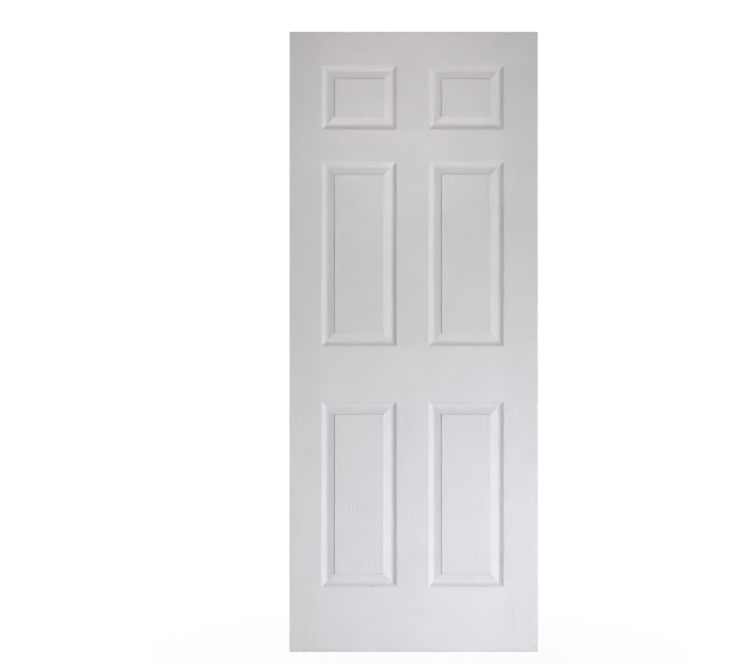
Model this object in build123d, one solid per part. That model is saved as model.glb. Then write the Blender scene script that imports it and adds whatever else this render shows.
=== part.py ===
"""Interior door leaf with six moulded panels on each face, hollow inside.

Two pressed fibreboard skins are glued over a softwood frame, two lock blocks and a core of
expanded paper honeycomb. Millimetres. X runs across the leaf, Y through it and Z up, the front
face looks towards -Y, and the origin is the middle of the bottom edge.
"""

from build123d import *
import os
from math import cos, radians, sin, sqrt, tan

# Leaf
leaf_width = 812.8
leaf_height = 2032.0
leaf_thickness = 34.9
arris = 1.0

# Skins
skin_thickness = 3.2

# Flat faces between and round the panels, which take up the rest of the width and height
left_stile_face = 101.6
right_stile_face = 108.1
muntin_face = 98.7
bottom_rail_face = 209.5
lock_rail_face = 175.7
frieze_rail_face = 98.9
top_rail_face = 108.0
top_panel_height = 214.9
lock_height = 911.1

# Moulding round each panel, from the face inwards: rounded shoulder, slope, cove, bevel and step
shoulder_radius = 9.0
sticking_slope = 38.0
groove_depth = 9.0
cove_radius = 16.0
bevel_slope = 13.0
step_foot_radius = 1.5
step_slope = 50.0
step_height = 3.5
step_head_radius = 2.0
least_bend = 0.4
field_drop = 0.6
flat_margin = 1.0

# Softwood frame and lock blocks
stile_width = 28.0
top_rail_width = 30.0
bottom_rail_width = 32.0
lock_block_length = 500.0
lock_block_clearance = 5.0

# Paper honeycomb
cell_pitch = 94.0
paper_wall = 1.0
core_play = 0.4

frame_thickness = leaf_thickness - 2 * skin_thickness
frame_length = leaf_width - 2 * stile_width
lock_block_width = min(left_stile_face, right_stile_face) - stile_width - lock_block_clearance
panel_width = (leaf_width - left_stile_face - right_stile_face - muntin_face) / 2


def shifted_corner(corner, heading_in, heading_out, depth):
    """Where a corner of the sheet's front line comes to lie at a depth below that line."""
    middle = radians(heading_in + heading_out) / 2
    reach = depth / cos(radians(heading_out - heading_in) / 2)
    return corner[0] + reach * sin(middle), corner[1] - reach * cos(middle)


def moulding_corners(depth):
    """Sharp corners of the moulding at a depth in the sheet: shoulder, groove, step foot and head."""
    turn = radians(sticking_slope + bevel_slope) / 2
    lean = radians(sticking_slope - bevel_slope) / 2
    sharp_depth = groove_depth + cove_radius * (cos(lean) / cos(turn) - 1)
    shoulder = (shoulder_radius * tan(radians(sticking_slope) / 2), 0)
    groove = (shoulder[0] + sharp_depth / tan(radians(sticking_slope)), -sharp_depth)
    foot_level = -field_drop - step_height
    foot = (groove[0] + (foot_level + sharp_depth) / tan(radians(bevel_slope)), foot_level)
    head = (foot[0] + step_height / tan(radians(step_slope)), -field_drop)
    return [
        shifted_corner(shoulder, 0, -sticking_slope, depth),
        shifted_corner(groove, -sticking_slope, bevel_slope, depth),
        shifted_corner(foot, bevel_slope, step_slope, depth),
        shifted_corner(head, step_slope, 0, depth),
    ]


moulding_width = (
    moulding_corners(0)[-1][0] + step_head_radius * tan(radians(step_slope) / 2) + flat_margin
)


def sheet_line(depth):
    """The moulding's line at a depth in the sheet, with bends that stay concentric through it."""
    radii = [
        max(shoulder_radius - depth, least_bend),
        cove_radius + depth,
        step_foot_radius + depth,
        max(step_head_radius - depth, least_bend),
    ]
    outer_end = (-flat_margin, -depth)
    inner_end = (moulding_width, -field_drop - depth)
    return FilletPolyline(outer_end, *moulding_corners(depth), inner_end, radius=radii)


def sheet_section():
    """Section of the pressed sheet from just outside a panel's outer line to its flat field."""
    front = sheet_line(0)
    back = sheet_line(skin_thickness)
    ends = [Line(front @ 0, back @ 0), Line(front @ 1, back @ 1)]
    return make_face([*front.edges(), *back.edges(), *ends])


def tray_section():
    """Section of the hollow that a panel's moulding presses into the core."""
    sunk = skin_thickness + core_play
    groove, foot, head = moulding_corners(sunk)[1:]
    return make_face(
        Polyline(
            (0, 0),
            (0, -sunk),
            groove,
            foot,
            head,
            (moulding_width, -field_drop - sunk),
            (moulding_width, 0),
            close=True,
        )
    )


def panel_places():
    """Centre and height of each of the six panels, in the plane of the face."""
    left = left_stile_face + (panel_width - leaf_width) / 2
    right = (leaf_width - panel_width) / 2 - right_stile_face
    top = leaf_height - top_rail_face
    rows = [
        (bottom_rail_face, lock_height - lock_rail_face / 2),
        (lock_height + lock_rail_face / 2, top - top_panel_height - frieze_rail_face),
        (top - top_panel_height, top),
    ]
    return [(across, (low + high) / 2, high - low) for low, high in rows for across in (left, right)]


def round_panel(section, height):
    """Run a section round a panel's outer line, with mitred corners."""
    right = panel_width / 2
    top = height / 2
    path = Polyline((-right, -top), (right, -top), (right, top), (-right, top), close=True)
    start = Plane(origin=(-right, -top, 0), x_dir=(0, 1, 0), z_dir=(1, 0, 0))
    return sweep(start * section, path=path, transition=Transition.RIGHT)


def slab(width, height, top, bottom):
    """A flat slab between two levels, centred on its place."""
    return extrude(Pos(0, 0, bottom) * Rectangle(width, height), top - bottom)


def panels(section, top, bottom):
    """Six panels in the plane of the face: the section round each one and its flat field."""
    field_width = panel_width - 2 * moulding_width
    made = []
    for across, level, height in panel_places():
        field = slab(field_width, height - 2 * moulding_width, top, bottom)
        made.append(Pos(across, level, 0) * (round_panel(section, height) + field))
    return made


def skin():
    """One pressed skin, lying in the plane of its face with that face up."""
    sheet = Pos(0, leaf_height / 2, 0) * slab(leaf_width, leaf_height, 0, -skin_thickness)
    sheet = chamfer(sheet.edges().group_by(Axis.Z)[-1], arris)
    for across, level, height in panel_places():
        opening = slab(panel_width + 2 * flat_margin, height + 2 * flat_margin, 0, -skin_thickness)
        sheet -= Pos(across, level, 0) * opening
    return sheet + panels(sheet_section(), -field_drop, -field_drop - skin_thickness)


def stile(side):
    """A frame stile, full height, on the left at -1 or the right at 1."""
    across = side * (leaf_width - stile_width) / 2
    return Pos(across, 0, leaf_height / 2) * Box(stile_width, frame_thickness, leaf_height)


def rail(width, level):
    """A frame rail between the stiles, with its lower edge at a level."""
    return Pos(0, 0, level + width / 2) * Box(frame_length, frame_thickness, width)


def lock_block(side):
    """A block behind the stile that takes the lock, on the left at -1 or the right at 1."""
    across = side * (leaf_width / 2 - stile_width - lock_block_width / 2)
    return Pos(across, 0, lock_height) * Box(lock_block_width, frame_thickness, lock_block_length)


def honeycomb():
    """The sheet of open cells that fills the frame, in the plane of the face, before pressing."""
    width = frame_length - 2 * core_play
    height = leaf_height - top_rail_width - bottom_rail_width - 2 * core_play
    middle = (leaf_height - top_rail_width + bottom_rail_width) / 2
    notch_width = lock_block_width + core_play
    columns = round(width / cell_pitch)
    pitch_across = width / columns
    pitch_up = pitch_across * sqrt(3) / 2
    rows = round(height / pitch_up) + 2
    outline = Pos(0, middle) * Rectangle(width, height)
    for side in (-1, 1):
        across = side * (frame_length / 2 - notch_width / 2)
        outline -= Pos(across, lock_height) * Rectangle(notch_width, lock_block_length + 2 * core_play)
    cell = RegularPolygon((pitch_across - paper_wall) / 2, 6, major_radius=False, rotation=90)
    cells = []
    for row in range(rows):
        level = middle + (row - (rows - 1) / 2) * pitch_up
        offset = row % 2 / 2
        for column in range(columns + row % 2):
            across = (column + 0.5 - offset) * pitch_across - width / 2
            cells.append(Pos(across, level) * cell)
    return outline - cells


def core():
    """The honeycomb, crushed under both skins' mouldings. Loose ends of the cut sheet fall away."""
    depth = frame_thickness - 2 * core_play
    block = Plane.XZ * extrude(Pos(0, 0, -depth / 2) * honeycomb(), depth, clean=False)
    sunk = skin_thickness + core_play
    trays = [front_plane * tray for tray in panels(tray_section(), 0, -field_drop - sunk)]
    block -= trays
    block -= [mirror(tray, about=Plane.XZ) for tray in trays]
    return block.solids().sort_by(SortBy.VOLUME)[-1]


front_plane = Plane(origin=(0, -leaf_thickness / 2, 0), x_dir=(1, 0, 0), z_dir=(0, -1, 0))
front_skin = front_plane * skin()

parts = {
    "front_skin": front_skin,
    "back_skin": mirror(front_skin, about=Plane.XZ),
    "left_stile": stile(-1),
    "right_stile": stile(1),
    "top_rail": rail(top_rail_width, leaf_height - top_rail_width),
    "bottom_rail": rail(bottom_rail_width, 0),
    "left_lock_block": lock_block(-1),
    "right_lock_block": lock_block(1),
    "honeycomb_core": core(),
}

os.makedirs("parts", exist_ok=True)
for name, shape in parts.items():
    export_step(shape, f"parts/{name}.step")
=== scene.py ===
"""Looks of a white-primed interior door leaf: pressed grain, timber edges, soft low light."""

from math import pi, radians

import bpy
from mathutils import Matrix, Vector


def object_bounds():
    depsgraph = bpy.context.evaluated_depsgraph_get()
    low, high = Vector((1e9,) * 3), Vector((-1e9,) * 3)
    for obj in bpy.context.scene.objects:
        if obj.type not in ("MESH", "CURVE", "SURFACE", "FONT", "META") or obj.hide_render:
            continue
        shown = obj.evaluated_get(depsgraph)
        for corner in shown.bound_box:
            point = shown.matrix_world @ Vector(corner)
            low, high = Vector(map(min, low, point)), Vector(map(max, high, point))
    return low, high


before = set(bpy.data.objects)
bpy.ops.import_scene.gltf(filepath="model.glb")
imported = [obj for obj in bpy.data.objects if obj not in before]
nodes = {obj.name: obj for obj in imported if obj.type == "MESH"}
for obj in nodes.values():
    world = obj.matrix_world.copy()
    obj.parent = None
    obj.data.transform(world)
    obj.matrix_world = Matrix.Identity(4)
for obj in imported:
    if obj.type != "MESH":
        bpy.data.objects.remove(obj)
cad_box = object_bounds()

# Lengths are in metres and colours are linear

# Leaf, from the frame
LEAF_LOW, LEAF_HIGH = (Vector(corner) for corner in cad_box)
LEAF_HEIGHT = LEAF_HIGH.z
FACE_DEPTH = LEAF_HIGH.y

# Flat faces between the panels
LEFT_STILE_FACE = 0.1016
RIGHT_STILE_FACE = 0.1081
BOTTOM_RAIL_FACE = 0.2095
LOCK_RAIL_FACE = 0.1757
FRIEZE_RAIL_FACE = 0.0989
TOP_RAIL_FACE = 0.1080
TOP_PANEL_HEIGHT = 0.2149
LOCK_HEIGHT = 0.9111
RAIL_BLUR = 0.003
PAST_LEAF_END = 0.01

# Camera: level and straight on, with the door's place in the frame in pixels
METRES_A_PIXEL = 0.0032775
FRAME_PIXELS = 738
DOOR_RIGHT_OF_CENTRE = 44.7
DOOR_BELOW_CENTRE = 9.3
LENS = 85.0
SENSOR = 36.0

# Room light, and lamps: name, place, target, size, power, colour, spread in degrees
ROOM_LIGHT = 0.14
ROOM_COLOUR = (1.0, 0.843, 0.743, 1.0)
LAMPS = [
    ("low_key", (0.43, -1.2, 0.20), (0.05, 0, 0.50), (0.6, 0.36), 4.43, (0.760, 0.868, 1.0), 180),
    ("side", (6.3, -8.4, 0.5), (0, 0, 0.40), (1.6, 0.9), 36.9, (0.949, 0.958, 1.0), 46),
    ("front", (0.6, -5.0, 0.6), (0, 0, 0.9), (1.6, 1.0), 18.6, (1.0, 0.895, 0.811), 180),
    ("upper_front", (-0.15, -3.2, 0.3), (-0.05, 0, 1.80), (0.5, 0.5), 0.302, (1.0, 0.935, 0.960), 19),
    ("rear_fill", (-3.0, 5.0, 2.4), (0, 0, 1.0), (2.5, 2.5), 260, (1.0, 0.99, 0.98), 180),
]

# Floor: how much of it looks plain white at the door, and over what distance it turns all white
FLOOR_SIZE = 40
FLOOR_COLOUR = (0.55, 0.55, 0.55, 1.0)
FLOOR_ROUGHNESS = 0.9
FLOOR_WHITE_AT_DOOR = 0.965
SHADOW_FADE = (0.4, 1.1)
WHITE = (1.0, 1.0, 1.0, 1.0)

# Pressed grain noises: scale, detail, roughness
STREAKS = (260.0, 3.0, 0.6)
RING_DRIFT = (7.0, 2.0, 0.5)
PORES = (1100.0, 1.0, 0.5)

# Pressed grain: how much each pattern is drawn out along the grain
STREAK_DRAW = 0.06
DRIFT_DRAW = 0.30
PORE_DRAW = 0.035

# Pressed grain: rings a metre, how far they wander, and which noise levels fall into a pore
RINGS_A_METRE = 95.0
RING_WANDER = 26.0
PORE_LEVELS = (0.56, 0.66)

# Pressed grain: bump distances, the rails' share, and the heights where there is no grain
STREAK_BUMP = 0.0012
RING_BUMP = 0.00008
PORE_BUMP = 0.00024
RAIL_GRAIN = 0.5
GRAIN_REST = (0.5, 0.0, 1.0)

# Primer: a faint mottle in its shade and gloss
PRIMER_WHITE = (0.80, 0.80, 0.80, 1.0)
PRIMER_DIM = 0.965
PRIMER_MOTTLE = (9.0, 4.0, 0.6)
SHADE_LEVELS = (0.3, 0.7)
GLOSS_LEVELS = (0.2, 0.8)
PRIMER_ROUGHNESS = (0.50, 0.60)

# Primer worn thin over fibreboard, close to the leaf's outer edges
FIBREBOARD = (0.34, 0.22, 0.12, 1.0)
WEAR_REACH = 0.0025
WEAR_NOISE = (70.0, 3.0, 0.6)
WEAR_LEVELS = (0.3, 0.7)
WEAR_STRENGTH = (0.06, 0.18)

# Sawn edge of the fibreboard
CUT_REACH = 0.0002
SAWN_NOISE = (900.0, 3.0, 0.6)
SAWN_DIM = 0.7
SAWN_ROUGHNESS = 0.85

# Scuffs on the front face: place across and up, half size across and up, strength
SCUFF_AND_FOOT_GREY = (0.42, 0.41, 0.40, 1.0)
SCUFFS = [
    ((-0.389, 1.0973), (0.026, 0.0035), 0.16),
    ((-0.351, 0.6515), (0.026, 0.0080), 0.06),
    ((0.387, 1.0640), (0.009, 0.0140), 0.13),
    ((0.400, 1.0260), (0.007, 0.0180), 0.15),
    ((0.392, 0.4330), (0.012, 0.0030), 0.08),
    ((0.394, 0.4180), (0.013, 0.0025), 0.07),
]
SCUFF_FADE = (0.3, 1.0)
SCUFF_NOISE = (160.0, 3.0, 0.5)
SCUFF_LEVELS = (0.25, 0.6)
SCUFF_BREAKUP = (0.5, 1.0)
# Front face darker towards the foot of the leaf: strength at the bottom edge, and the height where it
# fades out
FOOT_DARKENING = 0.12
FOOT_DARKENING_HEIGHT = 0.016

# Softwood: early and late wood of the palest and the darkest block
EARLY_WOOD = ((0.74, 0.57, 0.37, 1.0), (0.66, 0.47, 0.29, 1.0))
LATE_WOOD = ((0.60, 0.40, 0.22, 1.0), (0.50, 0.31, 0.16, 1.0))
WOOD_ROUGHNESS = 0.62

# Softwood: blocks joined end to end with fingers
BLOCK_LENGTH = 0.41
BLOCK_SHIFT = 3.0
FINGER_WIDTH = 0.002
FINGER_SLOPE = 5.0
FINGER_OFFSET = 1.0
SEAM_LEVELS = (0.996, 1.0)
SEAM_COLOUR = (0.25, 0.15, 0.08, 1.0)
SEAM_STRENGTH = 0.7
SEAM_BUMP = 0.0002

# Softwood: growth rings and fibres
WOOD_WANDER = (16.0, 2.0, 0.5)
WANDER_DRAW = 0.05
WOOD_RINGS_A_METRE = 260.0
WOOD_RING_WANDER = 9.0
LATE_WOOD_SHARPNESS = 2.5
WOOD_FIBRES = (900.0, 3.0, 0.6)
FIBRE_DRAW = 0.03
FIBRE_LEVELS = (0.45, 0.75)
FIBRE_STRENGTH = 0.25
FIBRE_BUMP = 0.0003

# Kraft paper
PAPER_PALE = (0.48, 0.33, 0.19, 1.0)
PAPER_DARK = (0.36, 0.24, 0.13, 1.0)
PAPER_NOISE = (600.0, 3.0, 0.5)
PAPER_ROUGHNESS = 0.85


def plug(tree, value, socket):
    """Put a value or another node's output into a socket."""
    if isinstance(value, bpy.types.NodeSocket):
        tree.links.new(value, socket)
    else:
        socket.default_value = value


def maths(tree, operation, *values, clamp=False):
    """A maths node's output."""
    node = tree.nodes.new("ShaderNodeMath")
    node.operation = operation
    node.use_clamp = clamp
    for value, socket in zip(values, node.inputs):
        plug(tree, value, socket)
    return node.outputs[0]


def times(tree, a, b):
    """The product of two numbers."""
    return maths(tree, "MULTIPLY", a, b)


def ramp(tree, value, low, high, out_low=0.0, out_high=1.0):
    """Map a value smoothly from one range to another, held at both ends."""
    node = tree.nodes.new("ShaderNodeMapRange")
    node.interpolation_type = "SMOOTHSTEP"
    limits = {"From Min": low, "From Max": high, "To Min": out_low, "To Max": out_high}
    for name, number in limits.items():
        plug(tree, number, node.inputs[name])
    plug(tree, value, node.inputs["Value"])
    return node.outputs["Result"]


def blend(tree, factor, a, b):
    """Mix two numbers."""
    node = tree.nodes.new("ShaderNodeMix")
    plug(tree, factor, node.inputs[0])
    plug(tree, a, node.inputs[2])
    plug(tree, b, node.inputs[3])
    return node.outputs[0]


def tint(tree, factor, a, b):
    """Mix two colours."""
    node = tree.nodes.new("ShaderNodeMix")
    node.data_type = "RGBA"
    plug(tree, factor, node.inputs[0])
    plug(tree, a, node.inputs[6])
    plug(tree, b, node.inputs[7])
    return node.outputs[2]


def dimmed(colour, share):
    """A colour at a share of its brightness."""
    return (*(share * level for level in colour[:3]), 1.0)


def vector(tree, x, y, z):
    """Three numbers as one vector."""
    node = tree.nodes.new("ShaderNodeCombineXYZ")
    for value, socket in zip((x, y, z), node.inputs):
        plug(tree, value, socket)
    return node.outputs[0]


def noise(tree, place, pattern):
    """A noise with a pattern's scale, detail and roughness."""
    node = tree.nodes.new("ShaderNodeTexNoise")
    plug(tree, place, node.inputs["Vector"])
    for name, value in zip(("Scale", "Detail", "Roughness"), pattern):
        node.inputs[name].default_value = value
    return node.outputs["Fac"]


def waves(tree, place, count, drift, wander):
    """Waves between -1 and 1, so many a metre, bent by a drift."""
    turns = maths(tree, "MULTIPLY_ADD", place, count, times(tree, drift, wander))
    return maths(tree, "SINE", times(tree, turns, 2 * pi))


def bump(tree, height, distance, normal=None):
    """A normal bent by a height, on top of another normal if there is one."""
    node = tree.nodes.new("ShaderNodeBump")
    node.inputs["Distance"].default_value = distance
    plug(tree, height, node.inputs["Height"])
    if normal:
        plug(tree, normal, node.inputs["Normal"])
    return node.outputs[0]


def new_material(name):
    """A material with its shader, and the place on the object."""
    material = bpy.data.materials.new(name)
    material.use_nodes = True
    tree = material.node_tree
    place = tree.nodes.new("ShaderNodeTexCoord").outputs["Object"]
    return material, tree, tree.nodes["Principled BSDF"], place


def split(tree, place):
    """A place's three numbers: across, depth and up."""
    node = tree.nodes.new("ShaderNodeSeparateXYZ")
    tree.links.new(place, node.inputs[0])
    return node.outputs


def inside(tree, value, low, high, edge):
    """1 between two levels and 0 outside, with soft edges."""
    rise = ramp(tree, value, low - edge, low + edge)
    fall = ramp(tree, value, high - edge, high + edge, 1.0, 0.0)
    return times(tree, rise, fall)


def rail_mask(tree, x, z):
    """1 on the cross rails, where the pressed grain lies across the leaf."""
    frieze_low = LEAF_HEIGHT - TOP_RAIL_FACE - TOP_PANEL_HEIGHT - FRIEZE_RAIL_FACE
    bands = [
        (-PAST_LEAF_END, BOTTOM_RAIL_FACE),
        (LOCK_HEIGHT - LOCK_RAIL_FACE / 2, LOCK_HEIGHT + LOCK_RAIL_FACE / 2),
        (frieze_low, frieze_low + FRIEZE_RAIL_FACE),
        (LEAF_HEIGHT - TOP_RAIL_FACE, LEAF_HEIGHT + PAST_LEAF_END),
    ]
    rails = 0.0
    for low, high in bands:
        rails = maths(tree, "ADD", rails, inside(tree, z, low, high, RAIL_BLUR))
    left = LEAF_LOW.x + LEFT_STILE_FACE
    right = LEAF_HIGH.x - RIGHT_STILE_FACE
    return times(tree, rails, inside(tree, x, left, right, RAIL_BLUR))


def pressed_grain(tree, across, along, side):
    """Heights of the pressed grain along one direction: fine streaks, broad rings and pores."""
    def drawn_out(share):
        """The place for a noise that is drawn out along the grain."""
        return vector(tree, across, times(tree, along, share), side)

    streaks = noise(tree, drawn_out(STREAK_DRAW), STREAKS)
    drift = noise(tree, drawn_out(DRIFT_DRAW), RING_DRIFT)
    rings = waves(tree, across, RINGS_A_METRE, drift, RING_WANDER)
    pores = noise(tree, drawn_out(PORE_DRAW), PORES)
    return streaks, rings, ramp(tree, pores, *PORE_LEVELS, 1.0, 0.0)


def skin_relief(tree, x, z, side):
    """The pressed grain's normal: up the leaf, and along its rails at their own strength."""
    rail = rail_mask(tree, x, z)
    upright = pressed_grain(tree, x, z, side)
    level = [
        blend(tree, RAIL_GRAIN, rest, height)
        for rest, height in zip(GRAIN_REST, pressed_grain(tree, z, x, side))
    ]
    normal = None
    for up, along, distance in zip(upright, level, (STREAK_BUMP, RING_BUMP, PORE_BUMP)):
        normal = bump(tree, blend(tree, rail, up, along), distance, normal)
    return normal


def distance_to(tree, value, level):
    """How far a value lies from a level."""
    return maths(tree, "ABSOLUTE", maths(tree, "SUBTRACT", value, level))


def edge_closeness(tree, x, z, reach):
    """1 at the leaf's outer edges, 0 from a short way in."""
    left = distance_to(tree, x, LEAF_LOW.x)
    right = distance_to(tree, x, LEAF_HIGH.x)
    foot = distance_to(tree, z, 0.0)
    head = distance_to(tree, z, LEAF_HEIGHT)
    across = maths(tree, "MINIMUM", left, right)
    up = maths(tree, "MINIMUM", foot, head)
    return ramp(tree, maths(tree, "MINIMUM", across, up), 0.0, reach, 1.0, 0.0)


def scuff(tree, x, z, place, size):
    """A soft oval mark."""
    across = maths(tree, "DIVIDE", maths(tree, "SUBTRACT", x, place[0]), size[0])
    up = maths(tree, "DIVIDE", maths(tree, "SUBTRACT", z, place[1]), size[1])
    squares = [maths(tree, "POWER", part, 2.0) for part in (across, up)]
    reach = maths(tree, "SQRT", maths(tree, "ADD", *squares))
    return ramp(tree, reach, *SCUFF_FADE, 1.0, 0.0)


def handling_marks(tree, place, x, y, z):
    """Faint grey scuffs near the long edges of the front face."""
    grit = noise(tree, place, SCUFF_NOISE)
    marks = 0.0
    for centre, size, strength in SCUFFS:
        spot = times(tree, scuff(tree, x, z, centre, size), strength)
        marks = maths(tree, "MAXIMUM", marks, spot)
    marks = times(tree, marks, ramp(tree, grit, *SCUFF_LEVELS, *SCUFF_BREAKUP))
    return times(tree, marks, maths(tree, "LESS_THAN", y, 0.0))


def primed_skin():
    """White primer over fibreboard with a pressed grain, up the leaf and along its rails."""
    material, tree, shader, place = new_material("primed_skin")
    x, y, z = split(tree, place)
    side = maths(tree, "SIGN", y)
    tree.links.new(skin_relief(tree, x, z, side), shader.inputs["Normal"])

    mottle = noise(tree, vector(tree, x, side, z), PRIMER_MOTTLE)
    dim = dimmed(PRIMER_WHITE, PRIMER_DIM)
    colour = tint(tree, ramp(tree, mottle, *SHADE_LEVELS), dim, PRIMER_WHITE)
    rub = ramp(tree, noise(tree, place, WEAR_NOISE), *WEAR_LEVELS, *WEAR_STRENGTH)
    thin = times(tree, edge_closeness(tree, x, z, WEAR_REACH), rub)
    colour = tint(tree, thin, colour, FIBREBOARD)
    colour = tint(tree, handling_marks(tree, place, x, y, z), colour, SCUFF_AND_FOOT_GREY)
    # Colour darker towards the foot of the leaf, fading out a short way up
    foot_darkening = ramp(tree, z, 0.0, FOOT_DARKENING_HEIGHT, FOOT_DARKENING, 0.0)
    colour = tint(tree, foot_darkening, colour, SCUFF_AND_FOOT_GREY)

    fibres = noise(tree, place, SAWN_NOISE)
    sawn = tint(tree, fibres, dimmed(FIBREBOARD, SAWN_DIM), FIBREBOARD)
    cut = edge_closeness(tree, x, z, CUT_REACH)
    tree.links.new(tint(tree, cut, colour, sawn), shader.inputs["Base Color"])
    gloss = ramp(tree, mottle, *GLOSS_LEVELS, *PRIMER_ROUGHNESS)
    tree.links.new(blend(tree, cut, gloss, SAWN_ROUGHNESS), shader.inputs["Roughness"])
    return material


def finger_joints(tree, across, y, along):
    """Each block's own tone between 0 and 1, and the seams between blocks."""
    teeth = maths(tree, "PINGPONG", maths(tree, "ADD", y, FINGER_OFFSET), FINGER_WIDTH)
    start = maths(tree, "ADD", along, maths(tree, "SIGN", across))
    block = maths(tree, "MULTIPLY_ADD", teeth, FINGER_SLOPE, start)
    block = maths(tree, "DIVIDE", block, BLOCK_LENGTH)
    pick = tree.nodes.new("ShaderNodeTexWhiteNoise")
    pick.noise_dimensions = "1D"
    plug(tree, maths(tree, "FLOOR", block), pick.inputs["W"])
    seam = times(tree, distance_to(tree, maths(tree, "FRACT", block), 0.5), 2.0)
    return pick.outputs["Value"], ramp(tree, seam, *SEAM_LEVELS)


def timber(name, upright):
    """Planed softwood joined end to end with fingers, its grain along the piece."""
    material, tree, shader, place = new_material(name)
    x, y, z = split(tree, place)
    along, across = (z, x) if upright else (x, z)
    tone, seam = finger_joints(tree, across, y, along)

    shifted = maths(tree, "ADD", across, times(tree, tone, BLOCK_SHIFT))
    wander = noise(tree, vector(tree, shifted, y, times(tree, along, WANDER_DRAW)), WOOD_WANDER)
    rings = waves(tree, y, WOOD_RINGS_A_METRE, wander, WOOD_RING_WANDER)
    rings = maths(tree, "MULTIPLY_ADD", rings, 0.5, 0.5)
    fibres = noise(tree, vector(tree, across, y, times(tree, along, FIBRE_DRAW)), WOOD_FIBRES)

    early = tint(tree, tone, *EARLY_WOOD)
    late = tint(tree, tone, *LATE_WOOD)
    colour = tint(tree, maths(tree, "POWER", rings, LATE_WOOD_SHARPNESS), early, late)
    colour = tint(tree, ramp(tree, fibres, *FIBRE_LEVELS, 0.0, FIBRE_STRENGTH), colour, late)
    colour = tint(tree, times(tree, seam, SEAM_STRENGTH), colour, SEAM_COLOUR)
    tree.links.new(colour, shader.inputs["Base Color"])
    normal = bump(tree, fibres, FIBRE_BUMP)
    normal = bump(tree, maths(tree, "SUBTRACT", 1.0, seam), SEAM_BUMP, normal)
    tree.links.new(normal, shader.inputs["Normal"])
    shader.inputs["Roughness"].default_value = WOOD_ROUGHNESS
    return material


def kraft_paper():
    """Brown paper of the sealed core."""
    material, tree, shader, place = new_material("kraft_paper")
    fibres = noise(tree, place, PAPER_NOISE)
    tree.links.new(tint(tree, fibres, PAPER_PALE, PAPER_DARK), shader.inputs["Base Color"])
    shader.inputs["Roughness"].default_value = PAPER_ROUGHNESS
    return material


def dress(names, material):
    """Give CAD nodes their finish."""
    for name in names:
        for slot in nodes[name].material_slots:
            slot.material = material


def white_to_camera(tree, surface, other_shader, share):
    """Show plain white to the camera and to reflections, and another shader to all other light."""
    path = tree.nodes.new("ShaderNodeLightPath")
    seen = 0.0
    for ray in ("Is Camera Ray", "Is Glossy Ray", "Is Transmission Ray"):
        seen = maths(tree, "ADD", seen, path.outputs[ray], clamp=True)
    is_world = surface.node.type == "OUTPUT_WORLD"
    white = tree.nodes.new("ShaderNodeBackground" if is_world else "ShaderNodeEmission")
    white.inputs["Color"].default_value = WHITE
    mix = tree.nodes.new("ShaderNodeMixShader")
    tree.links.new(times(tree, seen, share), mix.inputs[0])
    tree.links.new(other_shader, mix.inputs[1])
    tree.links.new(white.outputs[0], mix.inputs[2])
    tree.links.new(mix.outputs[0], surface)


def make_world():
    """Dim warm light from all round, behind a white background."""
    world = bpy.data.worlds.new("room")
    bpy.context.scene.world = world
    world.use_nodes = True
    tree = world.node_tree
    room = tree.nodes["Background"]
    room.inputs["Color"].default_value = ROOM_COLOUR
    room.inputs["Strength"].default_value = ROOM_LIGHT
    white_to_camera(tree, tree.nodes["World Output"].inputs["Surface"], room.outputs[0], 1.0)


def make_floor():
    """A pale floor that looks white and keeps the door's shadow."""
    bpy.ops.mesh.primitive_plane_add(size=FLOOR_SIZE)
    floor = bpy.context.object
    floor.name = "floor"
    material, tree, shader, place = new_material("floor")
    shader.inputs["Base Color"].default_value = FLOOR_COLOUR
    shader.inputs["Roughness"].default_value = FLOOR_ROUGHNESS
    gap = tree.nodes.new("ShaderNodeVectorMath")
    gap.operation = "LENGTH"
    tree.links.new(place, gap.inputs[0])
    share = ramp(tree, gap.outputs["Value"], *SHADOW_FADE, FLOOR_WHITE_AT_DOOR, 1.0)
    surface = tree.nodes["Material Output"].inputs["Surface"]
    white_to_camera(tree, surface, shader.outputs[0], share)
    floor.data.materials.append(material)


def add_light(name, place, target, size, power, colour, spread):
    """A soft lamp that looks at a point, with a grid over it where its spread is narrow."""
    lamp = bpy.data.lights.new(name, "AREA")
    lamp.shape = "RECTANGLE"
    lamp.size, lamp.size_y = size
    lamp.energy = power
    lamp.color = colour
    lamp.spread = radians(spread)
    holder = bpy.data.objects.new(name, lamp)
    bpy.context.collection.objects.link(holder)
    holder.location = place
    aim = Vector(target) - Vector(place)
    holder.rotation_euler = aim.to_track_quat("-Z", "Y").to_euler()


def make_camera():
    """A long lens, straight in front of the door and at the height that frames it."""
    camera = bpy.data.cameras.new("camera")
    camera.lens = LENS
    camera.sensor_width = SENSOR
    holder = bpy.data.objects.new("camera", camera)
    bpy.context.collection.objects.link(holder)
    distance = LENS / SENSOR * FRAME_PIXELS * METRES_A_PIXEL
    across = -DOOR_RIGHT_OF_CENTRE * METRES_A_PIXEL
    height = LEAF_HEIGHT / 2 + DOOR_BELOW_CENTRE * METRES_A_PIXEL
    holder.location = (across, -FACE_DEPTH - distance, height)
    holder.rotation_euler = (pi / 2, 0, 0)
    bpy.context.scene.camera = holder


bpy.context.scene.view_settings.view_transform = "Standard"
dress(["front_skin", "back_skin"], primed_skin())
upright_pieces = ["left_stile", "right_stile", "left_lock_block", "right_lock_block"]
dress(upright_pieces, timber("upright_softwood", True))
dress(["top_rail", "bottom_rail"], timber("level_softwood", False))
dress(["honeycomb_core"], kraft_paper())
make_world()
make_floor()
make_camera()
for lamp in LAMPS:
    add_light(*lamp)
